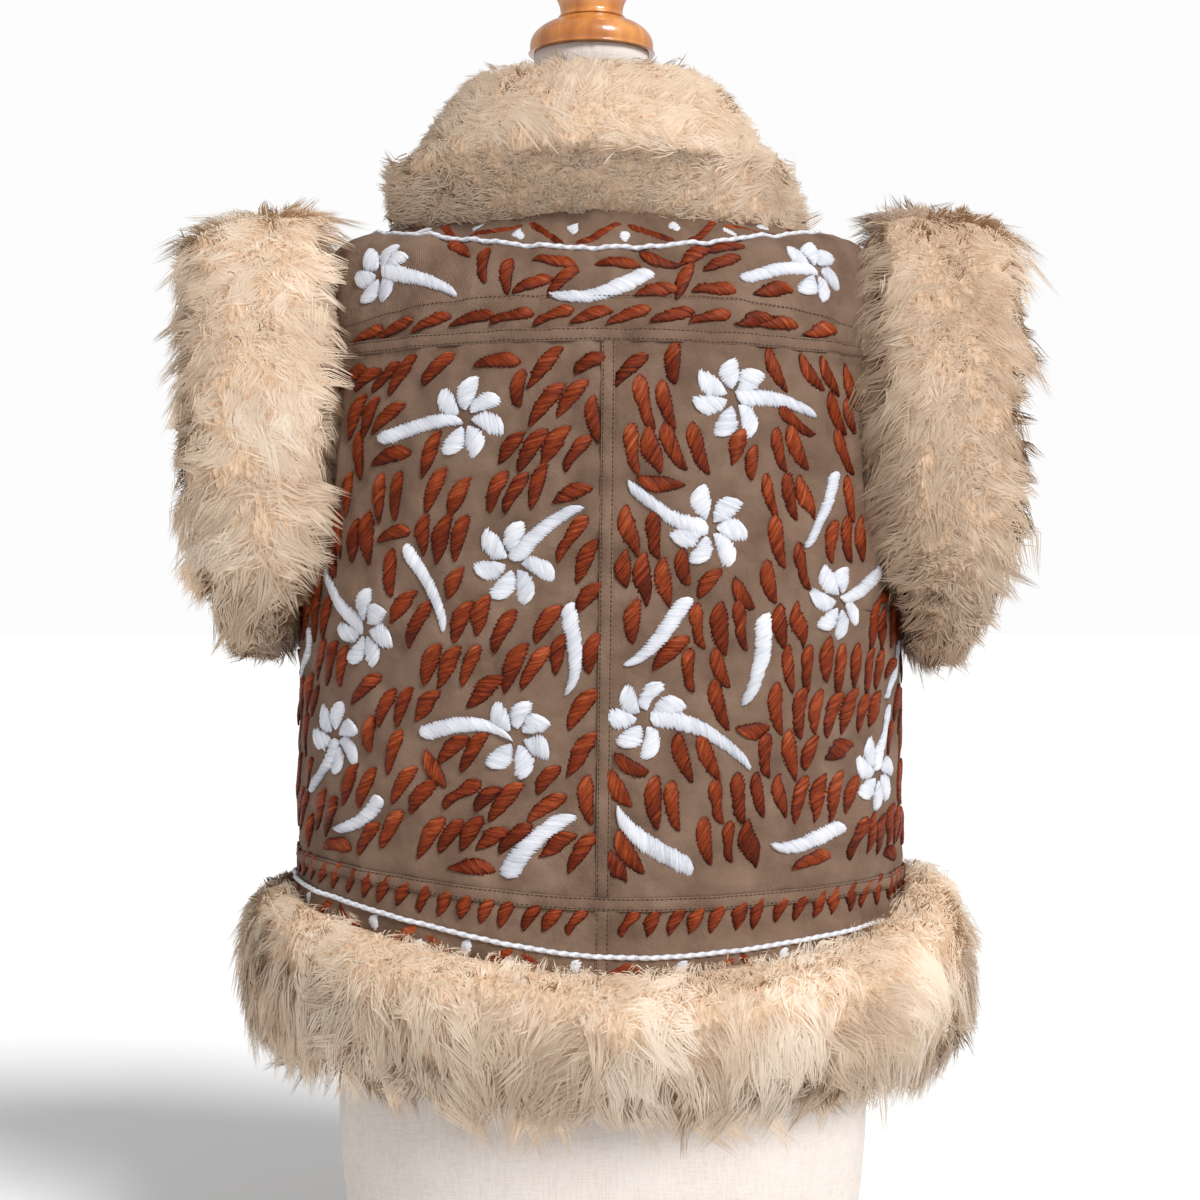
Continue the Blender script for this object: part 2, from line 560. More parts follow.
# Leaf stitches in single rows: along the yoke over its seam, scattered above it, and along the hem band.
for turn in leaf_row(0.6745, -63, 64, 0, 0.0262):
    lean = np.interp(turn, [-62, 0, 64], [60, 66, 84]) + rng.normal(0, 4)
    length = 0.029 * rng.uniform(0.92, 1.08)
    leaves.append((turn, 0.6745 - 0.000002 * turn ** 2, np.radians(lean), length, 0.0098))
# Columns: turn, level, lean in degrees.
UPPER_YOKE = [
    (-33, 0.7000, -26), (-26, 0.6960, -16), (-14, 0.7105, 86), (-19, 0.6930, 52), (-11, 0.6965, 30),
    (5, 0.7105, 92), (18, 0.7095, -62), (28, 0.7090, 66), (37, 0.7120, 86), (34, 0.7000, 74),
    (23, 0.6930, 26), (15, 0.6895, 80), (30, 0.6870, 88), (-42, 0.7090, -62), (45, 0.6840, 84),
]
for turn, level, lean in UPPER_YOKE:
    leaves.append((turn, level, np.radians(lean), 0.028, 0.0108))
for start, end in ((-176, -92), (-88, -3), (4, 88), (92, 176)):
    for turn in leaf_row(0.2815, start, end, 0, 0.0146):
        level = 0.2815 + 0.0095 * np.sin(np.radians(turn)) ** 2
        lean = np.radians(20 + rng.normal(0, 5))
        leaves.append((turn, level, lean, 0.0185 * rng.uniform(0.9, 1.1), 0.0094))
leaves = np.array(leaves)

# The cloth pieces themselves. Each is drawn down by the stitches through it and puffs up between them, and
# dips into the seams, where a turned strip covers the join.
cloth = new_material("brushed_cotton", 0.9, specular=0.12, sheen=0.04)
weave_inputs = {"Vector": node(cloth, "TexCoord").outputs["UV"], "Scale": 330.0, "Distortion": 1.2,
                "Detail": 1.0, "Detail Scale": 3.0}
weave = node(cloth, "TexWave", weave_inputs, bands_direction="DIAGONAL").outputs["Fac"]
nap = noise(cloth, 900, source="UV", detail=3)
patches = noise(cloth, 38, detail=4)
puffs = noise(cloth, 110, detail=3)
shade = weighted(cloth, (patches, 0.62), (nap, 0.26), (weave, 0.12))
colour_by(cloth, shade, [
    (0.30, (0.105, 0.063, 0.042)), (0.5, (0.175, 0.108, 0.074)), (0.72, (0.245, 0.162, 0.116))])
raise_by(cloth, (puffs, 0.0022), (weave, 0.00018), (nap, 0.00025))

leaf_places = axis_places(leaves[:, 0], leaves[:, 1], leaves[:, 2], leaves[:, 3], 4).reshape(-1, 3)
stitched_places = np.vstack([leaf_places, white_places])


def drawn_down(points):
    """How far the stitches draw the cloth in: deepest beside them, with soft puffs half way between."""
    nearest = np.full(len(points), 1.0)
    for start in range(0, len(points), 2000):
        part = points[start:start + 2000]
        box_low, box_high = part.min(axis=0) - 0.02, part.max(axis=0) + 0.02
        near = stitched_places[((stitched_places > box_low) & (stitched_places < box_high)).all(axis=1)]
        if len(near):
            nearest[start:start + 2000] = np.linalg.norm(part[:, None] - near, axis=2).min(axis=1)
    return 0.0017 * np.clip((nearest - 0.003) / 0.008, 0, 1) ** 1.5 - 0.0009


def seam_dip(turn, level):
    """The cloth dips beside the strips over the seams and the front edges, and into the side seams."""
    around = np.linalg.norm(cloth_slopes(turn, level)[0], axis=-1)
    beside_back = np.where(level < YOKE_SEAM, np.abs(turn - back_seam(level)) * around, 1.0)
    beside_front = np.abs(FRONT_EDGE - np.abs(turn)) * around - STRIP / 2
    beside_yoke = np.where(np.abs(turn) < 90, np.abs(level - YOKE_SEAM), 1.0)
    beside_band = np.abs(level - BAND_SEAM)
    edge = np.minimum(np.minimum(beside_back, beside_front), np.minimum(beside_yoke, beside_band))
    dips = 0.0008 * np.exp(-(((edge - STRIP / 2) / 0.0022) ** 2))
    puckers = 0.5 + 0.5 * np.sin(900 * level + 3.1 * turn)
    side = np.where(level < SHOULDER, np.abs(np.abs(turn) - 90) * around, 1.0)
    return -dips * (0.6 + 0.8 * puckers) - 0.0016 * np.exp(-((side / 0.0020) ** 2))


def thicken(piece, thickness):
    """Makes a surface a wall, inwards."""
    wall = piece.modifiers.new("wall", "SOLIDIFY")
    wall.thickness = thickness
    wall.offset = -1


def cloth_panel(name, cad_nodes, edges, armhole_gap, levels, columns):
    """A grid between two edges, whose turns are given for each level, made into a wall. An edge at an armhole
    is at the side, less the armhole's half turn, and only the columns beside it give way."""
    share = np.linspace(0, 1, columns)
    turn = edges[0][:, None] + (edges[1] - edges[0])[:, None] * share
    to_side = np.maximum(0, 1 - np.abs(np.abs(turn) - 90) / 88) ** 2.5
    turn = turn + armhole_gap[:, None] * to_side * np.where(np.abs(turn) > 90, 1, -1) * np.sign(turn)
    level = levels[:, None] + 0 * turn
    plain = cloth_point(turn, level)
    relief = drawn_down(plain.reshape(-1, 3)).reshape(turn.shape) + seam_dip(turn, level)
    place = np.stack([np.radians(turn) * CLOTH_RINGS[3, 1], level], -1)
    piece = add_surface(name, on_cloth(turn, level, relief), cloth, uv=place)
    thicken(piece, 0.0026)
    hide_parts(*cad_nodes)


def levels_from(low, high, apart):
    """Levels spread evenly between two, about the given distance apart."""
    return np.linspace(low, high, int((high - low) / apart) + 1)


main_levels = np.concatenate([levels_from(BAND_SEAM + 0.0018, 0.4790, 0.0038),
                              levels_from(0.4810, 0.4910, 0.0020), levels_from(0.4940, 0.6602, 0.0038)])
band_levels = levels_from(HEM, BAND_SEAM - 0.0018, 0.0046)
top_levels = np.concatenate([main_levels, levels_from(0.6640, NECK, 0.0032)])
yoke_levels = levels_from(YOKE_SEAM + 0.0018, NECK, 0.0030)
for side, hand in ((-1, "left"), (1, "right")):
    for place, levels, columns in (("back", main_levels, 58), ("hem_band_back", band_levels, 40),
                                   ("front", top_levels, 54), ("hem_band_front", band_levels, 38)):
        gap = armhole_half_turn(levels)
        if "back" in place:
            near, far = back_seam(levels) + side * 0.25, np.full(len(levels), side * 89.96)
        else:
            near, far = np.full(len(levels), side * (FRONT_EDGE - 0.6)), np.full(len(levels), side * 90.04)
        edges = (near, far) if near[0] < far[0] else (far, near)
        cloth_panel(f"{place}_{hand}_cloth", [f"{place}_{hand}"], edges, gap, levels, columns)
yoke_edge = np.full(len(yoke_levels), 89.96)
cloth_panel("yoke_cloth", ["yoke"], (-yoke_edge, yoke_edge), armhole_half_turn(yoke_levels), yoke_levels, 108)

# Turned strips: cloth folded under on both long edges, laid over each seam and down each front edge, and
# topstitched near both edges with dark brown thread that puckers them.
dark_thread = new_material("brown_thread", 0.7, specular=0.2)
colour_by(dark_thread, noise(dark_thread, 500), [(0.3, (0.030, 0.018, 0.011)), (0.7, (0.062, 0.040, 0.026))])
raise_by(dark_thread, (noise(dark_thread, 2500, stretch=(1, 1, 3)), 0.0001))
STITCH = {"length": 0.0024, "apart": 0.0031, "width": 0.0008, "inset": 0.0013}


def lay_on_cloth(turn, level, lean, x, y, out):
    """Carries shapes from their own flat x and y, turned by lean, to places on the cloth, raised by out."""
    lean = lean.reshape(lean.shape + (1,) * (x.ndim - 1))
    turn = turn.reshape(lean.shape) + 0 * x
    level = level.reshape(lean.shape) + 0 * x
    t, v = beside(turn, level, x * np.cos(lean) + y * np.sin(lean), y * np.cos(lean) - x * np.sin(lean))
    return on_cloth(t, np.clip(v, HEM - 0.004, NECK), out)


def stitch_line(turn, level, height):
    """Short raised threads along a line on the cloth, each a small dome, at even spacing."""
    length = length_along(cloth_point(turn, level))
    middle = np.arange(STITCH["apart"] / 2, length[-1], STITCH["apart"])
    at_turn, at_level = np.interp(middle, length, turn), np.interp(middle, length, level)
    around, up = cloth_slopes(at_turn, at_level)
    x = (np.interp(middle + 0.001, length, turn) - at_turn) * np.linalg.norm(around, axis=1)
    y = (np.interp(middle + 0.001, length, level) - at_level) * np.linalg.norm(up, axis=1)
    return at_turn, at_level, np.arctan2(x, y), np.full(len(middle), height)


def stitches(name, lines):
    """One piece from several stitch lines."""
    turn, level, lean, height = (np.concatenate(column) for column in zip(*lines))
    u, v = np.meshgrid(np.linspace(-1, 1, 4), np.array([-1.0, 0.0, 1.0]), indexing="ij")
    x = v * STITCH["width"] / 2 * np.sqrt(1.05 - u ** 2) + 0 * turn[:, None, None]
    y = u * STITCH["length"] / 2 + 0 * x
    out = height[:, None, None] + 0.0006 * (1 - v ** 2) * (1 - 0.75 * u ** 2) - 0.0001
    piece = add_surface(name, lay_on_cloth(turn, level, lean, x, y, out), dark_thread)


def turned_strip(name, cad_node, turn, level, upright, half=STRIP / 2):
    """A band whose section is flat with rounded edges and a groove under each stitch line, along a path. It
    runs up the cloth if upright, or round it."""
    across = half * np.array([-1, -0.98, -0.9, -0.72, -0.5, 0, 0.5, 0.72, 0.9, 0.98, 1])
    lift = np.array([-0.5, 0.35, 0.85, 0.55, 1.0, 1.15, 1.0, 0.55, 0.85, 0.35, -0.5]) * 0.001
    across = across[None, :] + 0 * turn[:, None]
    t, v = turn[:, None] + 0 * across, level[:, None] + 0 * across
    t, v = beside(t, v, across, 0 * across) if upright else beside(t, v, 0 * across, across)
    length = length_along(cloth_point(turn, level))
    pucker = 0.00022 * np.sin(length * 2 * np.pi / 0.0085 + 2 * np.sin(length * 90))[:, None] * (lift > 0)
    points = on_cloth(t, np.clip(v, HEM - 0.002, NECK), lift + pucker)
    place = np.stack([across, length[:, None] + 0 * across], -1)
    piece = add_surface(name, points if upright else points[:, ::-1], cloth, uv=place)
    thicken(piece, 0.0012)
    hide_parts(cad_node)


def both_edges(turn, level, upright, height=0.0008):
    """The two stitch lines of a strip, each set in from its edge."""
    lines = []
    for way in (-1, 1):
        off = np.full(len(turn), way * (STRIP / 2 - STITCH["inset"]))
        t, v = beside(turn, level, off, 0 * off) if upright else beside(turn, level, 0 * off, off)
        lines.append(stitch_line(t, np.minimum(v, NECK), height))
    return lines


back_path = levels_from(BAND_SEAM + STRIP / 2, YOKE_SEAM - STRIP / 2, 0.004)
band_path = levels_from(HEM, BAND_SEAM - STRIP / 2, 0.004)
edge_path = levels_from(HEM, NECK, 0.004)
side_gap = armhole_half_turn(np.array([YOKE_SEAM]))[0]
yoke_path = np.linspace(-(90 - side_gap), 90 - side_gap, 110)
seam_path = np.linspace(-90, 90, 150)
lines = []
strip_paths = [
    ("back_strip", back_seam(back_path), back_path, True),
    ("hem_band_back_strip", back_seam(band_path), band_path, True),
    ("yoke_strip", yoke_path, np.full(110, YOKE_SEAM), False),
    ("band_strip_back", seam_path, np.full(150, BAND_SEAM), False),
]
for side, hand in ((-1, "left"), (1, "right")):
    front_path = np.linspace(90, FRONT_EDGE - 3.2, 70) * side
    edge_turn = beside(np.full(len(edge_path), side * FRONT_EDGE), edge_path, -side * STRIP / 2, 0)[0]
    strip_paths.append((f"band_strip_front_{hand}", np.sort(front_path), np.full(70, BAND_SEAM), False))
    strip_paths.append((f"front_edge_strip_{hand}", edge_turn, edge_path, True))
for cad_node, turn, level, upright in strip_paths:
    turned_strip(f"{cad_node}_cloth", cad_node, turn, level, upright)
    lines += both_edges(turn, level, upright)
arc = np.linspace(-66, 66, 120)
lines.append(stitch_line(arc, 0.6875 - 0.0196 * np.sin(np.radians(arc)) ** 2, 0.0009))
stitches("topstitching", lines)

# Satin stitches: bundles of glossy floss laid side by side over the cloth, slanted across each shape, so that
# the shape is a low dome with stepped edges. Rust for the leaves, white for petals, stems and bars.


def satin(name, material, slot, turn, level, lean, length, width, outline, bow=0.0, slant=0.85, height=0.0014,
          rows=24, columns=5):
    """u runs down each shape and v across it. Half the width follows the outline at u, each row of the grid
    is one bundle of threads slanted over the shape, and bundles differ in reach, height and tone. The UV map
    runs across the threads and along them."""
    shapes = len(turn)
    u = np.linspace(1, 0, rows)[None, :, None]
    v = np.sin(np.linspace(-np.pi / 2, np.pi / 2, columns))[None, None, :]
    reach = 1 + rng.normal(0, 0.07, (shapes, rows, 1)) + 0.07 * (-1) ** np.arange(rows)[None, :, None]
    wide = outline(u)
    half = np.asarray(width).reshape(-1, 1, 1) / 2 * wide * reach
    long = np.asarray(length).reshape(-1, 1, 1)
    bend = np.asarray(bow).reshape(-1, 1, 1) * (1 - (2 * u - 1) ** 2)
    bend = bend + rng.normal(0, 0.0007, (shapes, 1, 1)) * np.sin(2 * np.pi * u)
    x = half * v + bend
    y = (0.5 - u) * long + half * v * slant
    bundle = 0.00010 * (-1) ** np.arange(rows)[None, :, None] + rng.normal(0, 0.00006, (shapes, rows, 1))
    out = (height * np.sqrt(np.clip(1 - v ** 2, 0, 1)) + bundle) * np.sqrt(wide) - 0.0005 * (np.abs(v) > 0.99)
    points = lay_on_cloth(turn, level, lean, x + 0 * y, y, out + 0 * y)
    tone = 0.52 + rng.normal(0, 0.05, (shapes, 1, 1)) + rng.normal(0, 0.08, (shapes, rows, 1))
    holes = 0.30 * (np.abs(v) > 0.99) * (np.arange(rows)[None, :, None] % 2)
    tone = tone - 0.22 * v ** 4 - holes + 0.26 * (0.4 - u)
    thread = np.hypot(1, slant)
    over_threads = np.stack([(0.5 - u) * long / thread + 0 * x, (x + slant * y) / thread], -1)
    piece = add_surface(name, points, material, uv=over_threads + rng.uniform(0, 1, (shapes, 1, 1, 1)),
                        values=np.clip(tone + 0 * y, 0, 1))


def floss(name, stops, roughness):
    """Glossy stranded thread: its tone by bundle, with fine strands along it."""
    made = new_material(name, roughness, specular=0.12)
    strands = noise(made, 1700, stretch=(1, 0.09, 1), source="UV", detail=2)
    tone = node(made, "Attribute", attribute_name="tone").outputs["Fac"]
    colour_by(made, weighted(made, (tone, 0.58), (strands, 0.42)), stops)
    raise_by(made, (strands, 0.0005))
    return made


def leaf_outline(u):
    """Blunt at the top and drawn out to a point below."""
    return np.maximum(np.sin(np.pi * u ** 0.56) ** 0.6, 0.10)


def petal_outline(u):
    """Round at the outer end and narrow at the daisy's middle."""
    return np.maximum(np.sin(np.pi * u ** 0.62) ** 0.66, 0.07)


def bar_outline(u):
    """A long bar with blunt ends, a little broader at its top."""
    return np.sqrt(np.clip(1 - np.abs(2 * u - 1) ** 14, 0, 1)) * (1 - 0.14 * u) + 0.03


rust_floss = floss("rust_floss", [(0.26, (0.018, 0.0015, 0.0003)), (0.43, (0.105, 0.013, 0.002)),
                                  (0.57, (0.225, 0.036, 0.008)), (0.74, (0.46, 0.120, 0.042))], 0.5)
white_floss = floss("white_floss", [(0.18, (0.30, 0.32, 0.38)), (0.42, (0.56, 0.57, 0.62)),
                                    (0.66, (0.74, 0.75, 0.79))], 0.45)
behind = np.abs(leaves[:, 0]) <= 90
for piece_name, chosen in (("leaf_stitches_back", leaves[behind]), ("leaf_stitches_front", leaves[~behind])):
    satin(piece_name, rust_floss, "quilted_cloth", *chosen.T, leaf_outline)
satin("daisy_petals", white_floss, "quilted_cloth", *petals[:3], petals[3] * 1.08, 0.0146, petal_outline,
      slant=0.45, height=0.0012, rows=20)
satin("daisy_stems", white_floss, "quilted_cloth", stem_turn, stem_level, stem_lean + np.pi, daisies[:, 3],
      0.0098, bar_outline, bow=daisies[:, 4], slant=0.8, rows=52)
satin("bars", white_floss, "quilted_cloth", bars[:, 0], bars[:, 1], np.radians(bars[:, 2]), bars[:, 3],
      bars[:, 5] * 1.12, bar_outline, bow=bars[:, 4], slant=0.8, rows=52)

# White cords, couched along the edge of the neck band and the hem band, with a rust zigzag and white dots
# beyond each. A cord is two plies twisted together.
CORD = {"radius": 0.0016, "lay": 0.0075}
NECK_CORD = {"middle": 0.7210, "side_drop": 0.0100}
HEM_CORD = {"middle": 0.2605, "side_rise": 0.0125, "lean": -0.004}


def neck_line(turn):
    """Level of the neck cord: it drops a little towards the shoulders, and rises again in front."""
    return NECK_CORD["middle"] - NECK_CORD["side_drop"] * np.sin(np.radians(turn)) ** 2


def hem_line(turn):
    """Level of the hem cord, which rises towards the sides, more on the left."""
    sine = np.sin(np.radians(turn))
    return HEM_CORD["middle"] + HEM_CORD["side_rise"] * sine ** 2 + HEM_CORD["lean"] * sine


def laid_cord(name, line, count):
    """A tube along a line on the cloth. Its radius swells twice round the section, and the swelling turns as
    it goes, so that two plies show."""
    turn = np.linspace(-FRONT_EDGE + 3.6, FRONT_EDGE - 3.6, count)
    centre = on_cloth(turn, line(turn), np.full(count, CORD["radius"] * 0.8))
    ahead = np.gradient(centre, axis=0)
    length = length_along(centre)
    ahead = ahead / np.linalg.norm(ahead, axis=1, keepdims=True)
    around, up = cloth_slopes(turn, line(turn))
    normal = np.cross(around, up)
    normal = normal / np.linalg.norm(normal, axis=1, keepdims=True)
    across = np.cross(normal, ahead)
    angle = np.linspace(0, 2 * np.pi, 10, endpoint=False)
    ply = 1 + 0.20 * np.cos(2 * (angle - np.pi * length[:, None] / CORD["lay"]))
    radius = CORD["radius"] * ply[..., None]
    ring = across[:, None] * np.cos(angle)[:, None] + normal[:, None] * np.sin(angle)[:, None]
    place = np.stack([length[:, None] + 0 * angle, angle * CORD["radius"] + 0 * length[:, None]], -1)
    tone = 0.35 + 0.45 * (ply - 0.8) / 0.4
    piece = add_surface(name, (centre[:, None] + radius * ring)[::-1], white_floss, wraps=True, capped=True,
                        uv=place, values=tone)


def zigzag_outline(u):
    """An even line with round ends."""
    return np.sqrt(np.clip(1 - np.abs(2 * u - 1) ** 6, 0.01, 1)) * 0.85


laid_cord("neck_cord", neck_line, 460)
laid_cord("hem_cord", hem_line, 720)

# The zigzag's legs lean to one side and the other in turn. A dot stands in each mouth between two legs.
for piece_name, line, level, offset in (("neck", neck_line, 0.733, 0.0130),
                                        ("hem", hem_line, 0.250, -0.0138)):
    zig_turn = leaf_row(level, -172, 172, 0, 0.0345)
    dot_turn = (zig_turn[1:] + zig_turn[:-1]) / 2
    dot_rise = np.where(np.arange(len(dot_turn)) % 2, 0.005, -0.003)
    zig_way = (-1.0) ** np.arange(len(zig_turn))
    zig_level = beside(zig_turn, line(zig_turn), 0, offset)[1]
    satin(f"{piece_name}_zigzag", rust_floss, "quilted_cloth", zig_turn, zig_level, np.radians(56 * zig_way),
          np.full(len(zig_turn), 0.0370), 0.0090, zigzag_outline, rows=26)
    dot_level = beside(dot_turn, line(dot_turn), 0, offset + dot_rise)[1]
    dot_lean = rng.normal(0, 0.2, len(dot_turn))
    satin(f"{piece_name}_dots", white_floss, "quilted_cloth", dot_turn, dot_level, dot_lean,
          np.full(len(dot_turn), 0.0125), 0.0095, petal_outline, rows=12, slant=0.4)

# Fur: long-haired cream and tan pile on a skin strip, round the neck, armholes and hem. Each trim is a soft
# core in the shade of the pile, with curved locks of hair rooted in it that reach the trim's full size.


def closed_curve(points, count):
    """A smooth closed line through the points of each row, by a Catmull-Rom curve."""
    size = points.shape[1]
    place = np.linspace(0, size, count, endpoint=False)
    i = place.astype(int)
    t = (place - i)[None, :, None]
    a, b, c, d = (points[:, (i + k) % size] for k in (-1, 0, 1, 2))
    curve = b + (c - a) * t / 2 + (a - 2.5 * b + 2 * c - d / 2) * t ** 2
    return curve + (1.5 * (b - c) + (d - a) / 2) * t ** 3


def drift(points, seed, size):
    """Smooth wandering directions: sums of sines along random directions, with the given wavelength."""
    waves = np.random.default_rng(seed)
    found = np.zeros_like(points)
    for _ in range(5):
        way = waves.normal(size=3)
        way *= 2 * np.pi / size / np.linalg.norm(way)
        found += np.sin(points @ way + waves.uniform(0, 6.3))[:, None] * waves.normal(size=3)
    return found / 2.2


pile = new_material("fur_pile", 0.8, specular=0.15)
hair_place = node(pile, "UVMap", uv_map="OFBake").outputs["UV"]
lock_and_step = node(pile, "SeparateXYZ", {"Vector": hair_place})
lock_tone, along_hair = lock_and_step.outputs["X"], lock_and_step.outputs["Y"]
pile_tone = combine(pile, "MULTIPLY", combine(pile, "POWER", along_hair, 0.6), 0.55)
near_tip = combine(pile, "MAXIMUM", combine(pile, "SUBTRACT", along_hair, 0.6), 0.0)
brown_tip = combine(pile, "MULTIPLY", near_tip, combine(pile, "SUBTRACT", 1.35, lock_tone))
pile_tone = combine(pile, "SUBTRACT", pile_tone, brown_tip)
colour_by(pile, combine(pile, "ADD", lock_tone, combine(pile, "SUBTRACT", pile_tone, 0.2)), [
    (0.10, (0.37, 0.25, 0.165)), (0.40, (0.555, 0.42, 0.305)),
    (0.65, (0.665, 0.53, 0.40)), (0.90, (0.76, 0.65, 0.53))])

under_pile = new_material("fur_under_pile", 0.95, specular=0.05)
under_hairs = noise(under_pile, 260, stretch=(1, 1, 0.4), detail=4)
colour_by(under_pile, under_hairs, [(0.3, (0.50, 0.34, 0.215)), (0.7, (0.76, 0.57, 0.41))])
raise_by(under_pile, (under_hairs, 0.004))

# in_lock is the number of hairs in a lock, and lock how widely they stand round it. gather is how much
# closer they are at their tips, stray how far a tip wanders, and curl a lock's sideways bend, by its length.
HAIR = {"width": 0.0009, "in_lock": 13, "lock": 0.0046, "gather": 0.74, "stray": 0.0007, "curl": 0.16}


def grow_fur(name, core, locks, hair, flow, seed, underside=1.0, upside=1.0, tone_shift=0.0):
    """Locks of hair on a core. A lock roots at a random place, chosen by area, and runs out along the normal
    and then along the flow. underside and upside multiply the length of those that root facing down and up,
    and tone_shift makes all of them darker or paler. A lock's hairs root round it, gather towards its tip,
    and are ribbons that bend once and end in a point. On the UV map, across is the tone and up is the way
    along a hair. A hair is shaded by the core's normal and its own direction, which makes the pile soft."""
    random = np.random.default_rng(seed)
    wrapped = np.concatenate([core, core[:, :1]], axis=1)
    edge_u = wrapped[:-1, 1:] - wrapped[:-1, :-1]
    edge_v = wrapped[1:, :-1] - wrapped[:-1, :-1]
    normals = np.cross(edge_u, edge_v)
    areas = np.linalg.norm(normals, axis=2)
    cells = random.choice(areas.size, size=locks, p=(areas / areas.sum()).ravel())
    i, j = np.unravel_index(cells, areas.shape)
    a, b = random.random((2, locks, 1))
    root = wrapped[i, j] + a * edge_u[i, j] + b * edge_v[i, j]
    normal = normals[i, j] / np.maximum(areas[i, j], 1e-12)[:, None]
    along = flow(root, normal) + 0.45 * drift(root, seed, 0.055) + 0.30 * drift(root, seed + 9, 0.022)
    along = along - normal * (along * normal).sum(axis=1, keepdims=True)
    along = along + random.normal(0, 0.12, root.shape)
    reach = hair * random.uniform(0.72, 1.18, (locks, 1))
    reach *= 1 + (underside - 1) * np.clip(-1.6 * normal[:, 2:], 0, 1)
    reach *= 1 + (upside - 1) * np.clip(1.6 * normal[:, 2:], 0, 1)
    steps = np.array([0.0, 0.48, 1.0])
    out = np.array([0.0, 0.27, 0.37])
    run = np.array([0.0, 0.34, 0.92])
    course = normal[:, None] * out[:, None] + along[:, None] * run[:, None]
    lock_path = root[:, None] + reach[:, None] * course
    curl = np.cross(normal, along) * random.normal(0, HAIR["curl"], (locks, 1)) * reach
    lock_path[:, 1] += curl
    count = HAIR["in_lock"]
    spread = random.normal(0, 1, (locks, count, 3)) * HAIR["lock"]
    spread -= normal[:, None] * (spread * normal[:, None]).sum(axis=2, keepdims=True)
    gathered = 1 - HAIR["gather"] * steps ** 1.1
    path = lock_path[:, None] + spread[:, :, None] * gathered[:, None]
    own = random.uniform(0.80, 1.06, (locks, count, 1, 1))
    path = path[:, :, :1] + (path - path[:, :, :1]) * own
    path = path + random.normal(0, HAIR["stray"], (locks, count, 1, 3)) * steps[:, None] ** 2
    path = path.reshape(-1, 3, 3)
    facing = np.repeat(normal, count, axis=0) + random.normal(0, 0.2, (locks * count, 3))
    side = np.cross(path[:, 2] - path[:, 0], facing)
    side /= np.maximum(np.linalg.norm(side, axis=1, keepdims=True), 1e-9)
    ends = side[:, None] * HAIR["width"] / 2 * np.array([1.0, 0.9])[None, :, None]
    ribbon = np.empty((len(path), 5, 3))
    ribbon[:, 0:4:2] = path[:, :2] - ends
    ribbon[:, 1:4:2] = path[:, :2] + ends
    ribbon[:, 4] = path[:, 2]
    corners = (np.arange(len(path))[:, None] * 5 + np.array([0, 1, 3, 2, 2, 3, 4])).ravel()
    sizes = np.tile([4, 3], len(path))
    lock_tone = random.normal(0, 0.07, (locks, 1)) + 0.22 * drift(root, seed + 4, 0.08)[:, :1] + tone_shift
    tone = np.repeat(lock_tone, count, axis=1) + random.normal(0, 0.03, (locks, count))
    tone = np.clip(0.5 + tone, 0.05, 0.95).reshape(-1, 1)
    beside_tone = np.array([-1, 1, 1, -1, -1, 1, 0]) * 0.004
    along_hair = np.array([0.02, 0.02, 0.48, 0.48, 0.48, 0.48, 0.98])
    places = np.stack([tone + beside_tone, along_hair + 0 * tone], -1)
    mesh = new_mesh(name, ribbon.reshape(-1, 3), corners, sizes)
    mesh.uv_layers.new(name="OFBake").data.foreach_set("uv", places.astype(np.float32).ravel())
    mesh.update(calc_edges=True)
    leaning = (path[:, [0, 0, 1, 1, 2]] - path[:, :1]) / hair
    shading = np.repeat(normal, count, axis=0)[:, None] + 0.6 * leaning
    shading += 0.12 * np.stack([-side, side, -side, side, 0 * side], axis=1)
    shading /= np.linalg.norm(shading, axis=2, keepdims=True)
    mesh.normals_split_custom_set_from_vertices(shading.reshape(-1, 3))
    mesh.materials.append(pile)
    piece = bpy.data.objects.new(name, mesh)
    piece.visible_shadow = False  # light passes between and through real hairs; the core casts the shadow
    bpy.context.collection.objects.link(piece)
    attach(piece, "root")


def add_core(name, cad_node, core, capped):
    """The soft core that the hair stands in."""
    closed = core if capped else np.concatenate([core, core[:1]])
    piece = add_surface(name, closed, under_pile, wraps=True, capped=capped)
    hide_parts(cad_node)


# The collar: it stands on the neck edge and rolls out over it, highest behind, low and narrow in front, with
# two rounded ends. Its hair parts behind the neck and runs out to the sides, up and down.
# Columns: at the back out and up from the neck edge, at the side, at the front.
COLLAR_FOOT = {"back": 0.750, "side": 0.724, "front": 0.738}
COLLAR_SECTION = np.array([
    (0.041, -0.009, 0.060, -0.007, 0.022, -0.022),
    (0.054, 0.003, 0.059, 0.005, 0.034, -0.012),
    (0.057, 0.020, 0.052, 0.019, 0.040, 0.002),
    (0.051, 0.045, 0.042, 0.042, 0.041, 0.020),
    (0.038, 0.069, 0.029, 0.067, 0.036, 0.038),
    (0.016, 0.091, 0.009, 0.089, 0.024, 0.052),
    (-0.006, 0.103, -0.010, 0.102, 0.010, 0.058),
    (-0.022, 0.104, -0.024, 0.103, -0.002, 0.056),
    (-0.031, 0.090, -0.032, 0.090, -0.009, 0.046),
    (-0.033, 0.066, -0.033, 0.066, -0.010, 0.032),
    (-0.031, 0.036, -0.031, 0.036, -0.009, 0.016),
    (-0.020, 0.012, -0.020, 0.012, -0.005, 0.005),
])
COLLAR_LIFT = [0.024, 0.021, 0.014, 0.005]  # the underside is drawn up, so that the neck band shows
PILE_DEPTH = 0.0105  # how far the hair stands out of a core


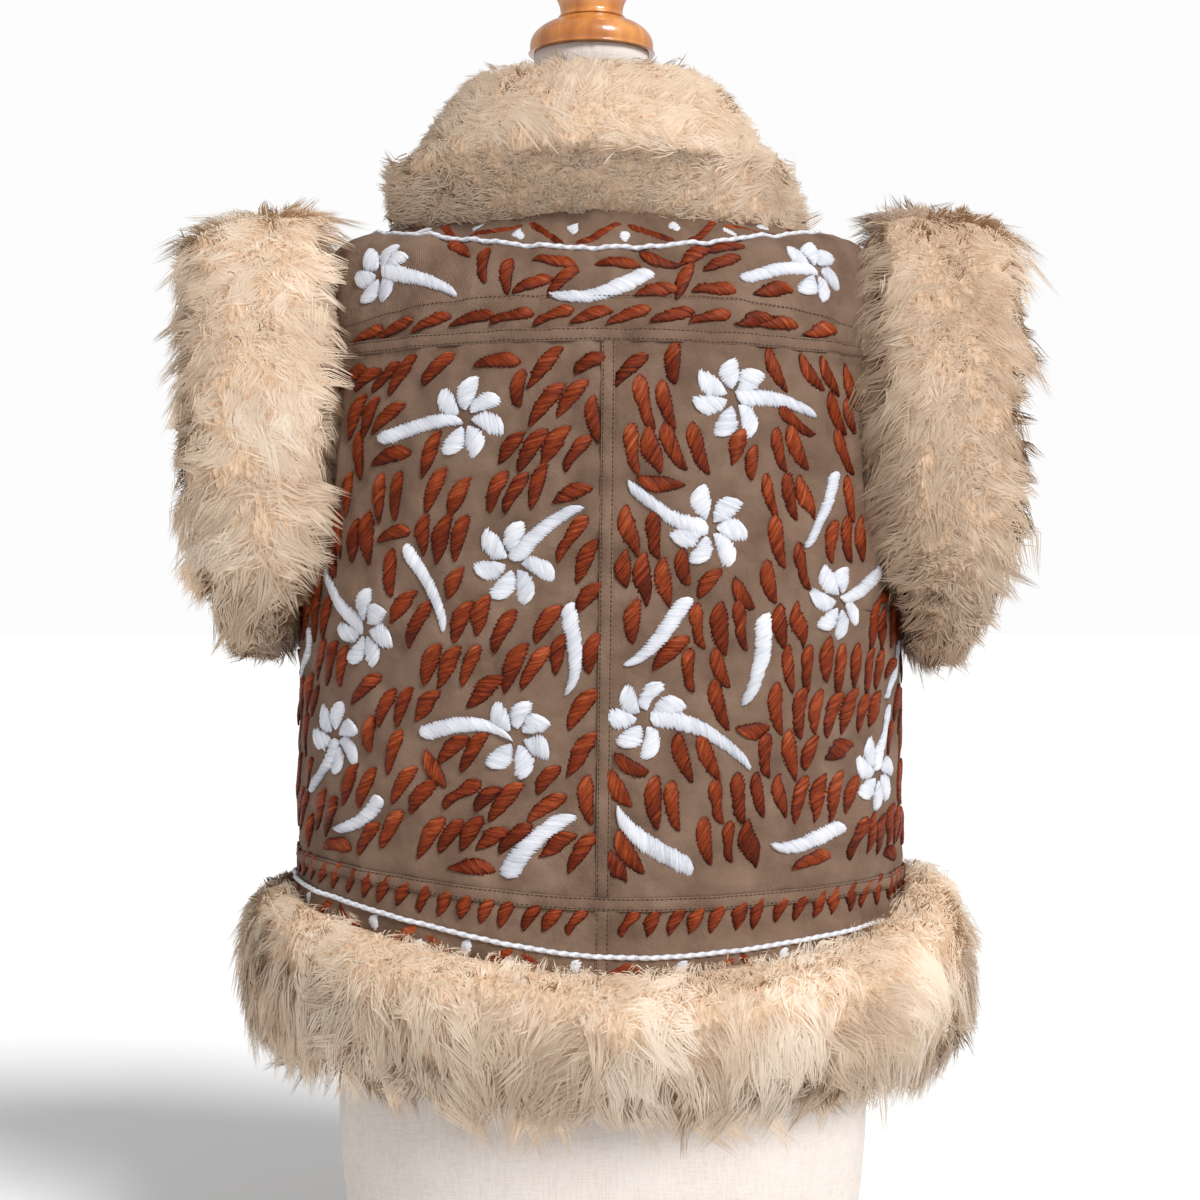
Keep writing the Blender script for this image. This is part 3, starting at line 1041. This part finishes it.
def shrunk(loops, held):
    """Loops drawn in towards their own middles by the depth of the pile, except where they are held."""
    middle = loops.mean(axis=1, keepdims=True)
    inward = middle - loops
    distance = np.linalg.norm(inward, axis=2, keepdims=True)
    step = np.minimum(PILE_DEPTH, distance * 0.6) * (1 - held)[None, :, None]
    return loops + inward / np.maximum(distance, 1e-9) * step


collar_turn = np.linspace(-FRONT_EDGE, FRONT_EDGE, 110)
share = np.cos(np.radians(collar_turn)) ** 2
is_back = (np.cos(np.radians(collar_turn)) > 0)[:, None]
middle_columns = np.where(is_back[..., None], COLLAR_SECTION[None, :, 0:2], COLLAR_SECTION[None, :, 4:6])
side_columns = COLLAR_SECTION[None, :, 2:4]
section = side_columns + (middle_columns - side_columns) * share[:, None, None]
foot_middle = np.where(is_back[:, 0], COLLAR_FOOT["back"], COLLAR_FOOT["front"])
foot = COLLAR_FOOT["side"] + (foot_middle - COLLAR_FOOT["side"]) * share
foot_level = NECK + (foot - NECK)[:, None] * np.linspace(0, 1, 4)
on_foot = on_cloth(collar_turn[:, None] + 0 * foot_level, foot_level, 0.0016 + 0 * foot_level)
neck_edge = cloth_point(collar_turn, np.full(110, NECK))
outward = np.stack([np.sin(np.radians(collar_turn)), -np.cos(np.radians(collar_turn)), 0 * collar_turn], -1)
body = neck_edge[:, None] + outward[:, None] * section[..., :1]
body[..., 0] += neck_x
body[..., 2] = neck_edge[:, None, 2] + section[..., 1]
body[:, :4, 2] += COLLAR_LIFT
collar_loops = np.concatenate([on_foot, body], axis=1)[:, ::-1]
collar_held = np.concatenate([np.zeros(12), np.ones(4)])
from_end = np.clip((FRONT_EDGE - np.abs(collar_turn)) / 12, 0, 1)
end_size = 0.35 + 0.65 * np.sqrt(1 - (1 - from_end) ** 2)
anchor = on_foot[:, 1] + outward * 0.008 + np.array([0, 0, 0.008])
collar_loops = anchor[:, None] + (collar_loops - anchor[:, None]) * end_size[:, None, None]
collar_core = closed_curve(shrunk(collar_loops, collar_held), 48)
add_core("collar_core", "fur_collar", collar_core, True)


def collar_flow(root, normal):
    """Away from a parting behind the neck, but hardly downwards, so that the roll's foot stays clear."""
    parting = np.array([neck_x - 0.004, root[:, 1].min(), 0.812])
    away = root - parting
    away[:, 1] *= 0.3
    size = np.linalg.norm(away, axis=1, keepdims=True)
    way = away / np.maximum(size, 0.02) * 0.9
    way[:, 2] = np.where(way[:, 2] < 0, way[:, 2] * 0.05, way[:, 2])
    return way


grow_fur("collar_fur", collar_core, 2800, 0.027, collar_flow, 21, underside=0.2, upside=0.5,
         tone_shift=-0.10)

# The armhole trims: rings that stand out sideways from the armholes, broad over the shoulder and narrow under
# the arm. Their hair runs outward and down, in loose swirls. The right one's is darker.
ARM_TRIM = {"reach": 0.0555, "thick": 0.034, "power": 2.4}
UNDERARM_TRIM = {"reach": 0.025, "thick": 0.042, "clear": 0.001}
SHOULDER_LEAN = 0.013


def arm_loops(side, rows, columns):
    """Round the armhole's edge; each section is a superellipse, half its width along x."""
    angle = side * np.linspace(0, 2 * np.pi, rows, endpoint=False)
    sine, cosine = np.sin(angle), np.cos(angle)
    bend = 2 / ARMHOLE["power"]
    turn = 90 + ARMHOLE["half_turn"] * np.sign(cosine) * np.abs(cosine) ** bend
    level = ARMHOLE["level"] + ARMHOLE["half_level"] * np.sign(sine) * np.abs(sine) ** bend
    edge = cloth_point(side * turn, level)
    away = np.stack([0 * turn, edge[:, 1], edge[:, 2] - 0.612], -1)
    away /= np.linalg.norm(away, axis=1, keepdims=True)
    under, over = np.maximum(0, -sine) ** 2, np.maximum(0, sine) ** 2
    half = ARM_TRIM["reach"] + (UNDERARM_TRIM["reach"] - ARM_TRIM["reach"]) * under
    thick = ARM_TRIM["thick"] + (UNDERARM_TRIM["thick"] - ARM_TRIM["thick"]) * under
    start = np.abs(edge[:, 0]) + 0.0016 + UNDERARM_TRIM["clear"] * under
    a = np.linspace(0, 2 * np.pi, columns, endpoint=False)
    r = ring_radius(np.sin(a), np.cos(a), thick[:, None], half[:, None], ARM_TRIM["power"])
    radial = r * np.sin(a)
    rise = np.clip((radial - 0.006) / (thick[:, None] - 0.006), 0, 1)
    lean = SHOULDER_LEAN * over[:, None] * rise ** 2 * (3 - 2 * rise)
    points = edge[:, None] + away[:, None] * radial[..., None]
    points[..., 0] = side * (start[:, None] + half[:, None] + r * np.cos(a) - lean)
    return points


for side, hand in ((-1, "left"), (1, "right")):
    loops = arm_loops(side, 72, 40)
    arm_core = shrunk(loops, np.zeros(40))
    add_core(f"armhole_{hand}_core", f"fur_armhole_{hand}", arm_core, False)

    def arm_flow(root, normal, side=side):
        """Outward from the body and down, turning round the ring."""
        way = np.array([0.0, 0, -0.7]) + 0 * root
        way[:, 0] = side * np.clip((np.abs(root[:, 0]) - 0.232) / 0.03, -1.2, 0.5)
        return way

    closed_core = np.concatenate([arm_core, arm_core[:1]])
    grow_fur(f"armhole_{hand}_fur", closed_core, 2750, 0.025, arm_flow, 31 + side,
             tone_shift=-0.25 if side > 0 else -0.06)

# The hem trim: a roll of longer hair round the outside of the hem, turned in under the cloth's edge. It is
# open at the centre front, and its hair runs down and out.
# Section: out from the cloth's edge, and up from it as a share of the rise above or the drop below. The rise
# follows the hem cord, and grows at the sides, more at the right.
HEM_SECTION = np.array([
    (0.014, 1), (0.030, 0.86), (0.041, 0.55), (0.044, 0.2), (0.041, -0.19), (0.032, -0.62),
    (0.018, -0.92), (0.002, -1), (-0.009, -0.81), (-0.013, -0.4), (-0.012, -0.03),
])
HEM_RISE = {"back": 0.046, "follow": 0.0125, "side": 0.0205, "lean": 0.013}
HEM_DROP = 0.049

hem_turn = np.linspace(-FRONT_EDGE, FRONT_EDGE, 190)
sine = np.sin(np.radians(hem_turn))
at_sides = (HEM_RISE["side"] + HEM_RISE["lean"] * sine) * sine ** 14
rise = HEM_RISE["back"] + HEM_RISE["follow"] * sine ** 2 + at_sides
swell = 1 + 0.1 * sine
hem_edge = cloth_point(hem_turn, np.full(190, HEM))
around, up = cloth_slopes(hem_turn, np.full(190, HEM + 0.001))
hem_out = np.cross(around, up)
hem_out[:, 2] = 0
hem_out /= np.linalg.norm(hem_out, axis=1, keepdims=True)
contact_level = HEM + (rise * 0.9)[:, None] * np.linspace(0, 1, 4)
contact = on_cloth(hem_turn[:, None] + 0 * contact_level, contact_level, 0.0016 + 0 * contact_level)
corner = hem_edge + hem_out * 0.0016 - np.array([0, 0, 0.0016])
roll = hem_edge[:, None] + hem_out[:, None] * HEM_SECTION[None, :, :1] * swell[:, None, None]
up_share = HEM_SECTION[None, :, 1]
roll[..., 2] = hem_edge[:, None, 2] + up_share * np.where(up_share < 0, HEM_DROP, rise[:, None])
hem_loops = np.concatenate([corner[:, None], contact, roll], axis=1)
hem_held = np.concatenate([np.ones(5), np.zeros(11)])
hem_core = closed_curve(shrunk(hem_loops, hem_held), 36)
add_core("hem_core", "fur_hem", hem_core, True)


def hem_flow(root, normal):
    """Down and outward, with a lean that changes round the hem."""
    lean = 0.35 * np.sin(9 * np.arctan2(root[:, :1], -root[:, 1:2]))
    tangent = np.cross(np.array([0, 0, 1.0]), normal)
    return np.array([0, 0, -0.85]) + normal * 0.1 + tangent * lean


for piece_name, part, seed in (("hem_fur_left", slice(0, 96), 41), ("hem_fur_right", slice(95, 190), 42)):
    grow_fur(piece_name, hem_core[part], 2750, 0.030, hem_flow, seed, underside=1.4, upside=0.5)

# The setting: a pale floor, soft light from all round with a broad lamp to the right, and the camera square
# on to the vest's back, level with its middle.
DISTANCE, HALF_FRAME, EYE = 1.6, 0.426, 0.490
AMBIENT = 0.5

floor_mesh = bpy.data.meshes.new("floor")
floor_mesh.from_pydata([(-30, -30, 0), (30, -30, 0), (30, 30, 0), (-30, 30, 0)], [], [(0, 1, 2, 3)])
floor = bpy.data.objects.new("floor", floor_mesh)
bpy.context.collection.objects.link(floor)
floor_paint = new_material("floor_paint", 0.95, specular=0.1)
colour_by(floor_paint, noise(floor_paint, 3), [(0.3, (0.95, 0.95, 0.95)), (0.7, (0.97, 0.97, 0.97))])
floor_mesh.materials.append(floor_paint)

world = bpy.data.worlds.new("studio")
world.use_nodes = True
backdrop = world.node_tree.nodes["Background"]
backdrop.inputs["Color"].default_value = (1.0, 1.0, 1.0, 1)
seen = world.node_tree.nodes.new("ShaderNodeLightPath").outputs["Is Camera Ray"]
level = world.node_tree.nodes.new("ShaderNodeMapRange")
level.inputs["To Min"].default_value = AMBIENT
level.inputs["To Max"].default_value = 0.98
world.node_tree.links.new(seen, level.inputs["Value"])
world.node_tree.links.new(level.outputs["Result"], backdrop.inputs["Strength"])
bpy.context.scene.world = world

sun_data = bpy.data.lights.new("soft_key", "SUN")
sun_data.energy = 3.1
sun_data.angle = 0.35
sun = bpy.data.objects.new("soft_key", sun_data)
sun.rotation_euler = (np.radians(48), 0, np.radians(38))
bpy.context.collection.objects.link(sun)

camera_data = bpy.data.cameras.new("camera")
camera_data.sensor_width = 36
camera_data.lens = 36 * DISTANCE / (2 * HALF_FRAME)
camera = bpy.data.objects.new("camera", camera_data)
camera.location = (0, -DISTANCE, EYE)
camera.rotation_euler = (np.pi / 2, 0, 0)
bpy.context.collection.objects.link(camera)
bpy.context.scene.camera = camera
bpy.context.scene.view_settings.view_transform = "Standard"
